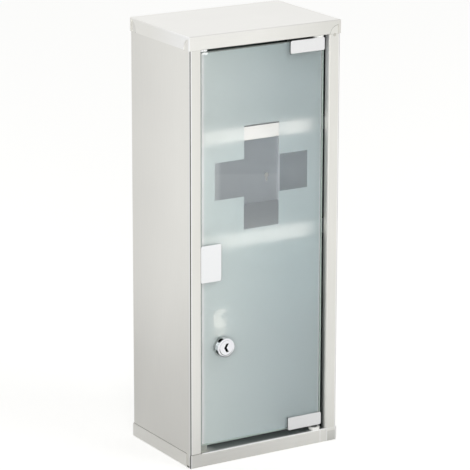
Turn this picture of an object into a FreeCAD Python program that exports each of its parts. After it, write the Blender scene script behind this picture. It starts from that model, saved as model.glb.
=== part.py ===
import FreeCAD, Part
import math
import os

from FreeCAD import Vector

# A wall-hung medicine cabinet of folded stainless sheet with an inset glass door.
# The origin is the middle of the underside, +X is right, +Y is back and +Z is up.
# All lengths are millimetres.

# Overall size
width = 198.0
depth = 134.0
height = 500.0
overrun = 5.0

# Sheet metal
sheet = 0.8
bend_inside = 0.5
shell_bend_inside = 1.2
touch_gap = 0.3

# Shell: one sheet folded round both sides and the back
stile_width = 14.6
return_depth = 8.0
keyhole_height = 292.8
keyhole_spacing = 164.6
keyhole_head_radius = 3.0
keyhole_slot_width = 2.6
keyhole_slot_reach = 7.6

# Caps: a folded tray over each end of the shell
cap_flange = 16.0
cap_lip = 22.0
lip_side_gap = 0.3
cap_corner_bevel = 1.0
notch_inset = 3.6
diagonal_share = math.sqrt(0.5)
front_notch_width = 11.6
front_notch_height = 10.3
side_notch_width = 9.5
side_notch_height = 13.0
rear_notch_width = 11.0
rear_notch_height = 14.0
base_notch_width = 7.0
base_notch_height = 13.0
base_notch_inset = 2.4
lap_width = 9.6
lap_reach = 1.1
lap_depth = 0.3

# Shelves
upper_shelf_top = 384.0
lower_shelf_top = 261.0
shelf_setback = 30.0
shelf_flange = 17.0
shelf_hem = 6.0
shelf_side_gap = 0.2
rail_leg = 10.0
rail_height = 12.0
rail_setback = 7.0
rail_length = 85.0

# Glass
glass_thickness = 4.0
glass_setback = 5.0
glass_free_gap = 2.2
glass_pivot_gap = 4.7
glass_top_gap = 4.1
glass_bottom_gap = 7.0
glass_corner_radius = 2.0
glass_arris = 0.4
film_thickness = 0.2
film_inset = 1.2
cross_centre_height = 330.6
cross_side_margin = 17.9
cross_height = 120.0
cross_upright = 46.0
cross_bar = 43.3

# Hinge clips, pads, pins and bushes
clip_width = 45.2
clip_leg = 15.2
clip_front = 1.2
clip_back = 2.4
clip_web = 1.2
clip_corner_radius = 2.0
clip_edge_bevel = 0.4
clip_overhang = 0.3
pad_thickness = 0.5
pad_web = 0.4
pad_margin = 1.0
pivot_inset = 6.9
pin_radius = 2.5
pin_reach = 6.0
fit_gap = 0.05
bush_flange_radius = 6.5
bush_spigot_radius = 4.0
bush_spigot_length = 5.0
spacer_thickness = 2.1
spacer_radius = 3.6
lift_gap = 0.3
grub_radius = 2.0
grub_inset = 11.0
grub_spacing = 16.0
grub_drop = 7.0

# Catch strike on the free edge of the glass
strike_centre_height = 238.0
strike_width = 26.5
strike_height = 43.3
strike_sheet = 1.0
strike_web = 0.8
strike_pad = 0.4
strike_corner_radius = 2.0

# Magnetic catch inside the left wall
catch_width = 18.0
catch_height = 42.0
catch_offset = 2.8
magnet_gap = 0.3
pole_proud = 0.3
pole_thickness = 1.2
magnet_width = 6.0
magnet_height = 24.0
magnet_depth = 4.2
catch_depth = 6.0
bracket_sheet = 1.0
bracket_height = 44.0
bracket_foot = 11.5
bracket_bend_inside = 1.0
catch_peg_width = 8.0
catch_peg_height = 4.0
catch_peg_inset = 4.6
catch_peg_tail = 1.2

# Door bumpers
bumper_width = 10.0
bumper_depth = 7.0
bumper_inset = 2.6
bumper_overlap = 3.4
bumper_corner_radius = 1.2

# Cam lock
lock_inset = 28.7
lock_height = 137.8
lock_head_radius = 11.0
lock_head_height = 6.2
lock_head_bevel = 0.5
lock_barrel_radius = 8.0
lock_barrel_tail = 7.0
lock_barrel_flat = 7.2
lock_hole_gap = 0.5
gasket_thickness = 0.5
plug_radius = 5.4
plug_head_radius = 8.6
plug_head_height = 1.6
plug_proud = 0.2
keyway_height = 9.4
keyway_bow = 2.6
keyway_slot = 2.2
keyway_depth = 9.0
nut_across_flats = 22.0
nut_thickness = 3.5
tang_half = 3.2
cam_thickness = 1.6
cam_width = 13.0
cam_length = 43.0
cam_joggle_start = 16.0
cam_joggle_run = 5.0
cam_joggle_rise = 5.0
cam_bend_inside = 1.0
cam_hook_start = 23.0
cam_hook_reach = 4.0
cam_hook_drop = 3.0
cam_hook_radius = 2.0
cam_notch_centre = 34.2
cam_notch_radius = 3.2
cam_notch_depth = 7.8
cam_running_gap = 0.1
cam_screw_radius = 1.8
cam_screw_head_radius = 5.2
cam_screw_head_height = 1.8
cam_screw_length = 9.0
screw_slot_width = 0.8
screw_slot_depth = 0.9

# Faces and lines that several pieces share, worked out from the sizes above
cap_half_width = width / 2
cap_front = -depth / 2
cap_back = depth / 2
shell_half_width = cap_half_width - sheet
shell_front = cap_front + sheet
shell_back = cap_back - sheet
wall_inside = shell_half_width - sheet
back_inside = shell_back - sheet
opening_half_width = shell_half_width - stile_width
return_end = shell_front + return_depth
opening_bottom = cap_flange
opening_top = height - cap_flange
lip_end = cap_front + cap_lip
lip_half_width = opening_half_width - lip_side_gap
shell_end_gap = sheet + bend_inside

glass_left = glass_free_gap - opening_half_width
glass_right = opening_half_width - glass_pivot_gap
glass_front = cap_front + glass_setback
glass_back = glass_front + glass_thickness
glass_bottom = opening_bottom + glass_bottom_gap
glass_top = opening_top - glass_top_gap
film_back = glass_back + film_thickness
cross_width = 2 * (glass_right - cross_side_margin)

pivot_x = glass_right - pivot_inset
pivot_y = glass_front + glass_thickness / 2
clip_right = glass_right + clip_overhang
clip_left = clip_right - clip_width
clip_face = glass_front - pad_thickness - clip_front
clip_slot_back = film_back + pad_thickness
clip_rear = clip_slot_back + clip_back
clip_top = glass_top + pad_web + clip_web
clip_bottom = glass_bottom - pad_web - clip_web

strike_left = glass_left - strike_pad - strike_web
strike_right = strike_left + strike_width
strike_face = glass_front - strike_pad - strike_sheet
strike_rear = film_back + strike_pad + strike_sheet

lock_x = glass_left + lock_inset
lock_back = glass_front - gasket_thickness
lock_face = lock_back - lock_head_height
barrel_end = glass_back + lock_barrel_tail
cam_front = barrel_end + cam_running_gap
cam_back = cam_front + cam_thickness


def box(x_low, x_high, y_low, y_high, z_low, z_high):
    """A box between two corners."""
    corner = Vector(x_low, y_low, z_low)
    return Part.makeBox(x_high - x_low, y_high - y_low, z_high - z_low, corner)


def rod(radius, start, end):
    """A cylinder from one point of its axis to another."""
    run = Vector(*end) - Vector(*start)
    return Part.makeCylinder(radius, run.Length, Vector(*start), run)


def ring(outer, inner, start, end):
    """A round tube between two points of its axis."""
    return rod(outer, start, end).cut(rod(inner, start, end))


def edges_along(shape, direction, keep=None):
    """The straight edges of a shape that run along a direction."""
    found = []
    for edge in shape.Edges:
        if not isinstance(edge.Curve, Part.Line):
            continue
        if edge.tangentAt(edge.FirstParameter).cross(direction).Length > 1e-6:
            continue
        if keep is None or keep(edge.CenterOfMass):
            found.append(edge)
    return found


def bend(before, corner, after, radius):
    """The two tangent points and the middle of the arc that rounds a corner."""
    back = (before - corner).normalize()
    ahead = (after - corner).normalize()
    half_turn = back.getAngle(ahead) / 2
    reach = radius / math.tan(half_turn)
    middle_way = (back + ahead).normalize()
    middle = corner + middle_way * (radius / math.sin(half_turn) - radius)
    return corner + back * reach, middle, corner + ahead * reach


def rounded_path(points, radii):
    """Edges through points, each corner between them rounded by its own radius."""
    edges = []
    last = points[0]
    for index, radius in enumerate(radii):
        start, middle, end = bend(points[index], points[index + 1], points[index + 2], radius)
        edges.append(Part.LineSegment(last, start).toShape())
        edges.append(Part.Arc(start, middle, end).toShape())
        last = end
    edges.append(Part.LineSegment(last, points[-1]).toShape())
    return edges


def folded_sheet(points, normal, thickness, inside, run):
    """A sheet whose section follows points on its outer face, extruded along a run.

    Every corner folds towards the inner face, which lies on the side that the cross product
    of the normal and the path's direction points to."""
    ways = [(after - before).normalize() for before, after in zip(points, points[1:])]
    sides = [normal.cross(way) for way in ways]
    inner = [points[0] + sides[0] * thickness]
    for corner, before, after in zip(points[1:], sides, sides[1:]):
        inner.append(corner + (before + after) * (thickness / (1 + before.dot(after))))
    inner.append(points[-1] + sides[-1] * thickness)
    bends = len(points) - 2
    edges = rounded_path(points, [inside + thickness] * bends)
    edges.append(Part.LineSegment(points[-1], inner[-1]).toShape())
    edges += rounded_path(inner[::-1], [inside] * bends)
    edges.append(Part.LineSegment(inner[0], points[0]).toShape())
    return Part.Face(Part.Wire(edges)).extrude(run)


def body_shell():
    """The sheet folded round the sides and back, with stiles and returns at the front."""
    bottom = shell_end_gap
    outline = [
        (-opening_half_width, return_end), (-opening_half_width, shell_front),
        (-shell_half_width, shell_front), (-shell_half_width, shell_back),
        (shell_half_width, shell_back), (shell_half_width, shell_front),
        (opening_half_width, shell_front), (opening_half_width, return_end),
    ]
    points = [Vector(x, y, bottom) for x, y in outline]
    run = Vector(0, 0, height - 2 * shell_end_gap)
    shell = folded_sheet(points, Vector(0, 0, -1), sheet, shell_bend_inside, run)
    for side in (-1, 1):
        shell = shell.cut(keyhole(side * keyhole_spacing / 2))
    return shell


def keyhole(x):
    """The cutter for one hanging hole: a round hole with a narrow slot below it."""
    front = back_inside - overrun
    back = shell_back + overrun
    head = rod(keyhole_head_radius, (x, front, keyhole_height), (x, back, keyhole_height))
    half = keyhole_slot_width / 2
    low = keyhole_height - keyhole_slot_reach + half
    slot = box(x - half, x + half, front, back, low, keyhole_height)
    return head.fuse(slot).fuse(rod(half, (x, front, low), (x, back, low)))


def cap_tray():
    """The top cap as a plain tray, open below, with every edge bent and no cut-outs yet."""
    outer = box(-cap_half_width, cap_half_width, cap_front, cap_back, opening_top, height)
    outer = outer.makeChamfer(cap_corner_bevel, edges_along(outer, Vector(0, 0, 1)))
    outer = bend_rim(outer, bend_inside + sheet)
    inner = box(-shell_half_width, shell_half_width, shell_front, shell_back,
                opening_top - overrun, height - sheet)
    return outer.cut(bend_rim(inner, bend_inside))


def bend_rim(block, radius):
    """Round the edges round the top of a block."""
    rim = [edge for edge in block.Edges if edge.BoundBox.ZMin > block.BoundBox.ZMax - radius]
    return block.makeFillet(radius, rim)


def cap_with_lip():
    """The tray with the front flange folded back under itself as a ledge for a pivot bush."""
    seam = cap_front + cap_flange / 2
    gap = box(-lip_half_width, lip_half_width, cap_front - overrun, seam,
              opening_top - overrun, height + overrun)
    section = [(lip_end, opening_top), (cap_front, opening_top), (cap_front, height), (seam, height)]
    points = [Vector(-lip_half_width, y, z) for y, z in section]
    run = Vector(2 * lip_half_width, 0, 0)
    rail = folded_sheet(points, Vector(-1, 0, 0), sheet, bend_inside, run)
    cap = cap_tray().cut(gap).fuse(rail).removeSplitter()
    hole = rod(bush_spigot_radius + fit_gap, (pivot_x, pivot_y, opening_top - overrun),
               (pivot_x, pivot_y, opening_top + overrun))
    return cap.cut(hole)


def arched_notch(corner, along, size):
    """A cutter for a flange's end: straight beside the corner and arched away from it."""
    through = along.cross(Vector(0, 0, 1))
    start = corner + through * overrun
    low = start + along * (size[0] + notch_inset)
    crown = start + along * notch_inset + Vector(0, 0, size[1])
    middle = start + along * (notch_inset + size[0] * diagonal_share)
    middle += Vector(0, 0, size[1] * diagonal_share)
    near = start + along * notch_inset
    below = Vector(0, 0, -overrun)
    edges = [
        Part.Arc(low, middle, crown).toShape(),
        Part.LineSegment(crown, near + below).toShape(),
        Part.LineSegment(near + below, low + below).toShape(),
        Part.LineSegment(low + below, low).toShape(),
    ]
    return Part.Face(Part.Wire(edges)).extrude(through * (-2 * overrun))


def top_cap():
    """The lid: arched notches free the flanges' ends at three corners."""
    cap = cap_with_lip()
    front_right = Vector(cap_half_width, cap_front, opening_top)
    front_left = Vector(-cap_half_width, cap_front, opening_top)
    rear_left = Vector(-cap_half_width, cap_back, opening_top)
    notches = (
        (front_right, Vector(-1, 0, 0), (front_notch_width, front_notch_height)),
        (front_left, Vector(0, 1, 0), (side_notch_width, side_notch_height)),
        (rear_left, Vector(0, -1, 0), (rear_notch_width, rear_notch_height)),
    )
    for corner, along, size in notches:
        cap = cap.cut(arched_notch(corner, along, size))
    return cap


def bottom_cap():
    """The base: the lid's tray turned over about X, with its own cut-outs."""
    cap = cap_with_lip()
    cap = cap.mirror(Vector(0, 0, height / 2), Vector(0, 0, 1))
    notch_front = cap_front + base_notch_inset
    notch_top = cap_flange
    cap = cap.cut(box(-cap_half_width - overrun, -shell_half_width,
                      notch_front, notch_front + base_notch_width,
                      notch_top - base_notch_height, notch_top + overrun))
    lap_right = opening_half_width + lap_reach
    return cap.cut(box(lap_right - lap_width, lap_right, cap_front - overrun, cap_front + lap_depth,
                       -overrun, cap_flange + overrun))


def shelf(top):
    """A shelf with a folded front flange and a hem along its lower edge."""
    front = cap_front + shelf_setback
    half = wall_inside - shelf_side_gap
    low = top - shelf_flange
    section = [(front + shelf_hem, low), (front, low), (front, top), (back_inside - touch_gap, top)]
    points = [Vector(-half, y, z) for y, z in section]
    return folded_sheet(points, Vector(-1, 0, 0), sheet, bend_inside, Vector(2 * half, 0, 0))


def shelf_rails(top):
    """The two angle rails that carry a shelf, one on each side wall."""
    front = cap_front + shelf_setback + rail_setback
    under = top - sheet
    rails = []
    for side in (-1, 1):
        wall = side * wall_inside
        section = [(wall, under - rail_height), (wall, under), (wall - side * rail_leg, under)]
        points = [Vector(x, front, z) for x, z in section]
        normal = Vector(0, -side, 0)
        rails.append(folded_sheet(points, normal, sheet, bend_inside, Vector(0, rail_length, 0)))
    return Part.Compound(rails)


def top_bush():
    """The nylon bush pressed into the lid's ledge, with its flange below."""
    flange_bottom = clip_top + lift_gap
    flange = rod(bush_flange_radius, (pivot_x, pivot_y, flange_bottom), (pivot_x, pivot_y, opening_top))
    tip = opening_top + bush_spigot_length
    spigot = rod(bush_spigot_radius, (pivot_x, pivot_y, opening_top), (pivot_x, pivot_y, tip))
    return flange.fuse(spigot).cut(pin_bore(flange_bottom, tip)).removeSplitter()


def bottom_bush():
    """The nylon bush pressed into the base's ledge, with its flange on top."""
    flange_top = clip_bottom - lift_gap - spacer_thickness
    flange = rod(bush_flange_radius, (pivot_x, pivot_y, opening_bottom), (pivot_x, pivot_y, flange_top))
    tip = opening_bottom - bush_spigot_length
    spigot = rod(bush_spigot_radius, (pivot_x, pivot_y, tip), (pivot_x, pivot_y, opening_bottom))
    return flange.fuse(spigot).cut(pin_bore(tip, flange_top)).removeSplitter()


def spacer_washer():
    """The loose nylon washer between the bottom bush and the bottom clip."""
    low = clip_bottom - lift_gap - spacer_thickness
    washer = rod(spacer_radius, (pivot_x, pivot_y, low), (pivot_x, pivot_y, low + spacer_thickness))
    return washer.cut(pin_bore(low, low + spacer_thickness))


def pin_bore(low, high):
    """The running bore for a pivot pin, cut past both ends."""
    start = (pivot_x, pivot_y, low - overrun)
    end = (pivot_x, pivot_y, high + overrun)
    return rod(pin_radius + fit_gap, start, end)


def glass_pane():
    """The toughened glass, with rounded corners, arrised edges and the hole for the lock."""
    pane = box(glass_left, glass_right, glass_front, glass_back, glass_bottom, glass_top)
    pane = pane.makeFillet(glass_corner_radius, edges_along(pane, Vector(0, 1, 0)))
    faces = (glass_front, glass_back)
    rim = [edge for edge in pane.Edges if edge.BoundBox.YLength < glass_arris
           and min(abs(edge.CenterOfMass.y - face) for face in faces) < glass_arris]
    pane = pane.makeChamfer(glass_arris, rim)
    return pane.cut(lock_hole())


def lock_hole():
    """The hole that the lock's barrel passes through in the glass and the film."""
    radius = lock_barrel_radius + lock_hole_gap
    start = (lock_x, glass_front - overrun, lock_height)
    end = (lock_x, film_back + overrun, lock_height)
    return rod(radius, start, end)


def frosted_film():
    """The frosted layer on the back of the glass, with the clear cross cut out of it."""
    film = box(glass_left + film_inset, glass_right - film_inset, glass_back, film_back,
               glass_bottom + film_inset, glass_top - film_inset)
    low = cross_centre_height - cross_height / 2
    upright = box(-cross_upright / 2, cross_upright / 2, glass_back - overrun, film_back + overrun,
                  low, low + cross_height)
    bar_low = cross_centre_height - cross_bar / 2
    bar = box(-cross_width / 2, cross_width / 2, glass_back - overrun, film_back + overrun,
              bar_low, bar_low + cross_bar)
    return film.cut(upright.fuse(bar)).cut(lock_hole())


def above_bottom(shape):
    """The same piece turned over for the bottom of the glass."""
    middle = (glass_top + glass_bottom) / 2
    return shape.mirror(Vector(0, 0, middle), Vector(0, 0, 1))


def hinge_clip():
    """A U clip over the top edge of the glass, threaded behind for two grub screws."""
    low = clip_top - clip_leg
    clip = box(clip_left, clip_right, clip_face, clip_rear, low, clip_top)
    clip = clip.makeFillet(clip_corner_radius, edges_along(clip, Vector(0, 1, 0)))
    rim = [edge for edge in clip.Edges if edge.BoundBox.YMax < clip_face + clip_edge_bevel]
    clip = clip.makeChamfer(clip_edge_bevel, rim)
    clip = clip.cut(box(clip_left - overrun, clip_right + overrun, glass_front - pad_thickness,
                        clip_slot_back, low - overrun, glass_top + pad_web))
    clip = clip.cut(pin_bore(glass_top, clip_top))
    for x in grub_places():
        start = (x, clip_slot_back - touch_gap, clip_top - grub_drop)
        end = (x, clip_rear + overrun, clip_top - grub_drop)
        clip = clip.cut(rod(grub_radius + fit_gap, start, end))
    return clip


def grub_places():
    """Where the two grub screws stand along a clip."""
    first = clip_left + grub_inset
    return first, first + grub_spacing


def clip_pad():
    """The rubber lining between a clip and the glass."""
    left = clip_left + pad_margin
    right = clip_right - clip_overhang
    low = clip_top - clip_leg + pad_margin
    lining = box(left, right, glass_front - pad_thickness, clip_slot_back, low, glass_top + pad_web)
    return lining.cut(box(left - overrun, right + overrun, glass_front, film_back,
                          low - overrun, glass_top))


def clip_screws():
    """The four grub screws that clamp the clips."""
    screws = []
    for x in grub_places():
        z = clip_top - grub_drop
        screw = rod(grub_radius, (x, clip_slot_back, z), (x, clip_rear, z))
        screws += [screw, above_bottom(screw)]
    return Part.Compound(screws)


def pivot_pin():
    """The steel pin riveted into the top clip."""
    low = glass_top + pad_web
    high = clip_top + pin_reach
    return rod(pin_radius, (pivot_x, pivot_y, low), (pivot_x, pivot_y, high))


def strike_shape(face, rear, left, margin):
    """A block over the free edge of the glass, with its upright corners rounded."""
    low = strike_centre_height - strike_height / 2 + margin
    high = strike_centre_height + strike_height / 2 - margin
    block = box(left, strike_right - margin, face, rear, low, high)
    return block.makeFillet(strike_corner_radius, edges_along(block, Vector(0, 1, 0)))


def strike_slot(left, front, back):
    """The slot that a U round the free edge of the glass leaves."""
    low = strike_centre_height - strike_height
    high = strike_centre_height + strike_height
    return box(left, strike_right + overrun, front, back, low, high)


def strike_clip():
    """The bright steel U on the glass that the magnet pulls on."""
    clip = strike_shape(strike_face, strike_rear, strike_left, 0)
    return clip.cut(strike_slot(strike_left + strike_web, strike_face + strike_sheet,
                                strike_rear - strike_sheet))


def strike_lining():
    """The thin pad between the strike and the glass."""
    left = strike_left + strike_web
    lining = strike_shape(strike_face + strike_sheet, strike_rear - strike_sheet, left, pad_thickness)
    return lining.cut(strike_slot(glass_left, glass_front, film_back))


def catch_left():
    """The left face of the magnetic catch, just inside the strike's left edge."""
    return strike_left + catch_offset


def catch_bracket():
    """The folded bracket on the left wall that holds the catch behind the strike."""
    back = strike_rear + magnet_gap + pole_proud + catch_depth + bracket_sheet
    low = strike_centre_height - bracket_height / 2
    section = [(catch_left() + catch_width, back), (-wall_inside, back), (-wall_inside, back + bracket_foot)]
    points = [Vector(x, y - bracket_sheet, low) for x, y in section]
    bracket = folded_sheet(points, Vector(0, 0, -1), bracket_sheet, bracket_bend_inside,
                           Vector(0, 0, bracket_height))
    for peg in catch_pegs(fit_gap):
        bracket = bracket.cut(peg)
    return bracket


def catch_front():
    """The front face of the catch's case."""
    return strike_rear + magnet_gap + pole_proud


def catch_middle():
    """The middle of the catch across its width."""
    return catch_left() + catch_width / 2


def catch_pegs(gap):
    """The two square pegs that hold the case in the bracket, or with a gap their holes."""
    pegs = []
    for side in (-1, 1):
        z = strike_centre_height + side * (catch_height / 2 - catch_peg_inset)
        back = catch_front() + catch_depth
        half = catch_peg_width / 2 + gap
        rise = catch_peg_height / 2 + gap
        pegs.append(box(catch_middle() - half, catch_middle() + half,
                        back, back + bracket_sheet + catch_peg_tail, z - rise, z + rise))
    return pegs


def magnet_pocket(half_width, front):
    """A block as tall and deep as the magnet, of its own width or with the pole plates."""
    return box(catch_middle() - half_width, catch_middle() + half_width, front,
               catch_front() + magnet_depth, strike_centre_height - magnet_height / 2,
               strike_centre_height + magnet_height / 2)


def catch_magnet():
    """The magnet, level with the front of its case."""
    return magnet_pocket(magnet_width / 2, catch_front())


def catch_case():
    """The plastic case of the magnetic catch, with its pocket and pegs."""
    x = catch_left()
    case = box(x, x + catch_width, catch_front(), catch_front() + catch_depth,
               strike_centre_height - catch_height / 2, strike_centre_height + catch_height / 2)
    case = case.cut(magnet_pocket(magnet_width / 2 + pole_thickness, catch_front() - overrun))
    for peg in catch_pegs(0):
        case = case.fuse(peg)
    return case.removeSplitter()


def catch_poles():
    """The two steel plates beside the magnet, which stand proud of the case."""
    pair = magnet_pocket(magnet_width / 2 + pole_thickness, catch_front() - pole_proud)
    return pair.cut(magnet_pocket(magnet_width / 2, catch_front() - overrun))


def door_bumpers():
    """The two clear bumpers that the free corners of the glass close against."""
    left = bumper_inset - opening_half_width
    front = film_back + touch_gap
    bumpers = []
    for low, high in ((glass_top - bumper_overlap, opening_top),
                      (opening_bottom, glass_bottom + bumper_overlap)):
        block = box(left, left + bumper_width, front, front + bumper_depth, low, high)
        bumpers.append(block.makeFillet(bumper_corner_radius, edges_along(block, Vector(0, 0, 1))))
    return Part.Compound(bumpers)


def about_lock(points):
    """A solid of revolution about the lock's axis, from (radius, y) points of its section."""
    outline = [Vector(lock_x + radius, y, lock_height) for radius, y in points]
    face = Part.Face(Part.makePolygon(outline + outline[:1]))
    return face.revolve(Vector(lock_x, 0, lock_height), Vector(0, 1, 0), 360)


def lock_housing():
    """The lock's chromed head and threaded barrel, with two flats and the plug's bore."""
    bore = plug_radius + fit_gap
    counterbore = plug_head_radius + fit_gap
    step = lock_face + plug_head_height + fit_gap
    housing = about_lock([
        (bore, step), (counterbore, step), (counterbore, lock_face),
        (lock_head_radius - lock_head_bevel, lock_face),
        (lock_head_radius, lock_face + lock_head_bevel), (lock_head_radius, lock_back),
        (lock_barrel_radius, lock_back), (lock_barrel_radius, barrel_end), (bore, barrel_end),
    ])
    for side in (-1, 1):
        flat = lock_x + side * lock_barrel_flat
        past = lock_x + side * (lock_barrel_radius + overrun)
        housing = housing.cut(box(min(flat, past), max(flat, past), lock_back, barrel_end + overrun,
                                  lock_height - lock_head_radius, lock_height + lock_head_radius))
    return housing


def lock_gasket():
    """The ring between the lock's head and the glass."""
    inner = lock_barrel_radius + lock_hole_gap
    return ring(lock_head_radius, inner, (lock_x, lock_back, lock_height),
                (lock_x, glass_front, lock_height))


def lock_nut():
    """The thin hexagon nut that clamps the lock."""
    radius = nut_across_flats / 2 / math.cos(math.pi / 6)
    turns = [math.pi / 3 * step for step in range(7)]
    outline = [Vector(lock_x + radius * math.cos(turn), film_back, lock_height + radius * math.sin(turn))
               for turn in turns]
    nut = Part.Face(Part.makePolygon(outline)).extrude(Vector(0, nut_thickness, 0))
    return nut.cut(rod(lock_barrel_radius + fit_gap, (lock_x, film_back - overrun, lock_height),
                       (lock_x, film_back + nut_thickness + overrun, lock_height)))


def lock_plug():
    """The turning plug, with a bowed keyway in front and a square tang behind."""
    front = lock_face - plug_proud
    plug = about_lock([(0, front), (plug_head_radius, front),
                       (plug_head_radius, lock_face + plug_head_height),
                       (plug_radius, lock_face + plug_head_height), (plug_radius, barrel_end),
                       (0, barrel_end)])
    tang = box(lock_x - tang_half, lock_x + tang_half, barrel_end, cam_back,
               lock_height - tang_half, lock_height + tang_half)
    thread = rod(cam_screw_radius + fit_gap, (lock_x, cam_back - cam_screw_length - fit_gap, lock_height),
                 (lock_x, cam_back + overrun, lock_height))
    return plug.fuse(tang).cut(keyway()).cut(thread)


def keyway():
    """The cutter for the key's slot: a chevron whose point is to the left."""
    front = lock_face - plug_proud - overrun
    half = keyway_height / 2
    left = lock_x - keyway_bow / 2 - keyway_slot / 2
    right = lock_x + keyway_bow / 2 - keyway_slot / 2
    outline = [(right, half), (right + keyway_slot, half), (left + keyway_slot, 0),
               (right + keyway_slot, -half), (right, -half), (left, 0)]
    points = [Vector(x, front, lock_height + z) for x, z in outline]
    face = Part.Face(Part.makePolygon(points + points[:1]))
    return face.extrude(Vector(0, overrun + keyway_depth, 0))


def lock_cam():
    """The joggled hook cam, which points up when the door is unlocked."""
    arm = lock_height + cam_length
    knee = lock_height + cam_joggle_start
    ankle = knee + cam_joggle_run
    half = cam_width / 2
    tip = cam_back - cam_joggle_rise
    section = [(cam_back, lock_height - half), (cam_back, knee), (tip, ankle), (tip, arm)]
    points = [Vector(lock_x - half, y, z) for y, z in section]
    cam = bent_strip(points, cam_thickness, cam_bend_inside, Vector(cam_width, 0, 0))
    ends = edges_along(cam, Vector(0, 1, 0))
    cam = cam.makeFillet(half / 2, ends)
    cam = cam.fuse(cam_hook(lock_x - half, tip, arm)).cut(cam_notch(lock_x + half, tip))
    return cam.cut(box(lock_x - tang_half - fit_gap, lock_x + tang_half + fit_gap,
                       cam_front - overrun, cam_back + overrun,
                       lock_height - tang_half - fit_gap, lock_height + tang_half + fit_gap))


def cam_hook(edge, tip, arm):
    """The wider part of the cam's end, on its left side."""
    hook = box(edge - cam_hook_reach, lock_x, tip - cam_thickness, tip,
               lock_height + cam_hook_start, arm - cam_hook_drop)
    return hook.makeFillet(cam_hook_radius, edges_along(hook, Vector(0, 1, 0)))


def cam_notch(edge, tip):
    """The cutter for the round-ended notch in the cam's right side."""
    front = tip - cam_thickness - overrun
    back = tip + overrun
    end = edge - cam_notch_depth + cam_notch_radius
    middle = lock_height + cam_notch_centre
    slot = box(end, edge + overrun, front, back, middle - cam_notch_radius, middle + cam_notch_radius)
    return slot.fuse(rod(cam_notch_radius, (end, front, middle), (end, back, middle)))


def bent_strip(points, thickness, inside, run):
    """A joggled strip: its rear face follows points, and it bends one way and then back."""
    front = [point + Vector(0, -thickness, 0) for point in points]
    rise = points[2] - points[1]
    slope = math.atan2(-rise.y, rise.z)
    shift = thickness * math.tan(slope / 2)
    front[1] = front[1] + Vector(0, 0, -shift)
    front[2] = front[2] + Vector(0, 0, -shift)
    outer = inside + thickness
    edges = rounded_path(points, [outer, inside])
    edges.append(Part.LineSegment(points[-1], front[-1]).toShape())
    edges += rounded_path(front[::-1], [outer, inside])
    edges.append(Part.LineSegment(front[0], points[0]).toShape())
    return Part.Face(Part.Wire(edges)).extrude(run)


def cam_screw():
    """The broad-headed screw that holds the cam on the plug's tang."""
    tip = cam_back - cam_screw_length
    top = cam_back + cam_screw_head_height
    screw = about_lock([(0, tip), (cam_screw_radius, tip), (cam_screw_radius, cam_back),
                        (cam_screw_head_radius, cam_back), (cam_screw_head_radius, top), (0, top)])
    half = screw_slot_width / 2
    return screw.cut(box(lock_x - cam_screw_head_radius, lock_x + cam_screw_head_radius,
                         top - screw_slot_depth, top + overrun, lock_height - half, lock_height + half))


parts = {
    "body_shell": body_shell(),
    "top_cap": top_cap(),
    "bottom_cap": bottom_cap(),
    "upper_shelf": shelf(upper_shelf_top),
    "lower_shelf": shelf(lower_shelf_top),
    "upper_shelf_rails": shelf_rails(upper_shelf_top),
    "lower_shelf_rails": shelf_rails(lower_shelf_top),
    "top_pivot_bush": top_bush(),
    "bottom_pivot_bush": bottom_bush(),
    "pivot_spacer_washer": spacer_washer(),
    "catch_bracket": catch_bracket(),
    "catch_case": catch_case(),
    "catch_magnet": catch_magnet(),
    "catch_pole_plates": catch_poles(),
    "door_bumpers": door_bumpers(),
    "glass_pane": glass_pane(),
    "frosted_film": frosted_film(),
    "top_hinge_clip": hinge_clip(),
    "bottom_hinge_clip": above_bottom(hinge_clip()),
    "top_clip_pad": clip_pad(),
    "bottom_clip_pad": above_bottom(clip_pad()),
    "clip_screws": clip_screws(),
    "top_pivot_pin": pivot_pin(),
    "bottom_pivot_pin": above_bottom(pivot_pin()),
    "catch_strike": strike_clip(),
    "strike_pad": strike_lining(),
    "lock_housing": lock_housing(),
    "lock_gasket": lock_gasket(),
    "lock_nut": lock_nut(),
    "lock_plug": lock_plug(),
    "lock_cam": lock_cam(),
    "cam_screw": cam_screw(),
}

os.makedirs("parts", exist_ok=True)
for name, shape in parts.items():
    solids = shape.Solids
    print(name, len(solids), round(shape.Volume, 1), shape.isValid())
    piece = solids[0] if len(solids) == 1 else Part.Compound(solids)
    piece.exportStep(f"parts/{name}.step")
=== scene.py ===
import math

import bmesh
import bpy
import numpy as np
from mathutils import Matrix, Vector


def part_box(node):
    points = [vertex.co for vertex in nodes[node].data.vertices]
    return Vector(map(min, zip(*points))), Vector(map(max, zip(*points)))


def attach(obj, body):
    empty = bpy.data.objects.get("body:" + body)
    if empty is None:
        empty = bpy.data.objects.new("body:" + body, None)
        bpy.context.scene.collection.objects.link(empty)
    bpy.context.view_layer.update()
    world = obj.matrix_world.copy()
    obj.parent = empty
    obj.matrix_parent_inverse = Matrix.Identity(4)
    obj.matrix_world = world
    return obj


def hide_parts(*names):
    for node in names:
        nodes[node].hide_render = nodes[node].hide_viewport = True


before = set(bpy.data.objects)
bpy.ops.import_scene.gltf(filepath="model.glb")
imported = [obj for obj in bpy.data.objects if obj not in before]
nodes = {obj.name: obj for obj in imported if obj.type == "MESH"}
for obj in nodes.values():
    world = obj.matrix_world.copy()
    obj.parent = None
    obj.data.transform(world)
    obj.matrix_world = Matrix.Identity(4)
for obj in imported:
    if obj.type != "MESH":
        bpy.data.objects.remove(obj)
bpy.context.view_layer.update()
mm = 0.001

# in mm, from the frame: the shell's outer faces, and the sheet, by which the lid laps over the shell
shellSide, shellBack = (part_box("body_shell")[1] / mm).xy
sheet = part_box("top_cap")[1].x / mm - shellSide
wallInside, backInside = shellSide - sheet, shellBack - sheet
print("frame loaded:", len(nodes), "nodes")


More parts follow.
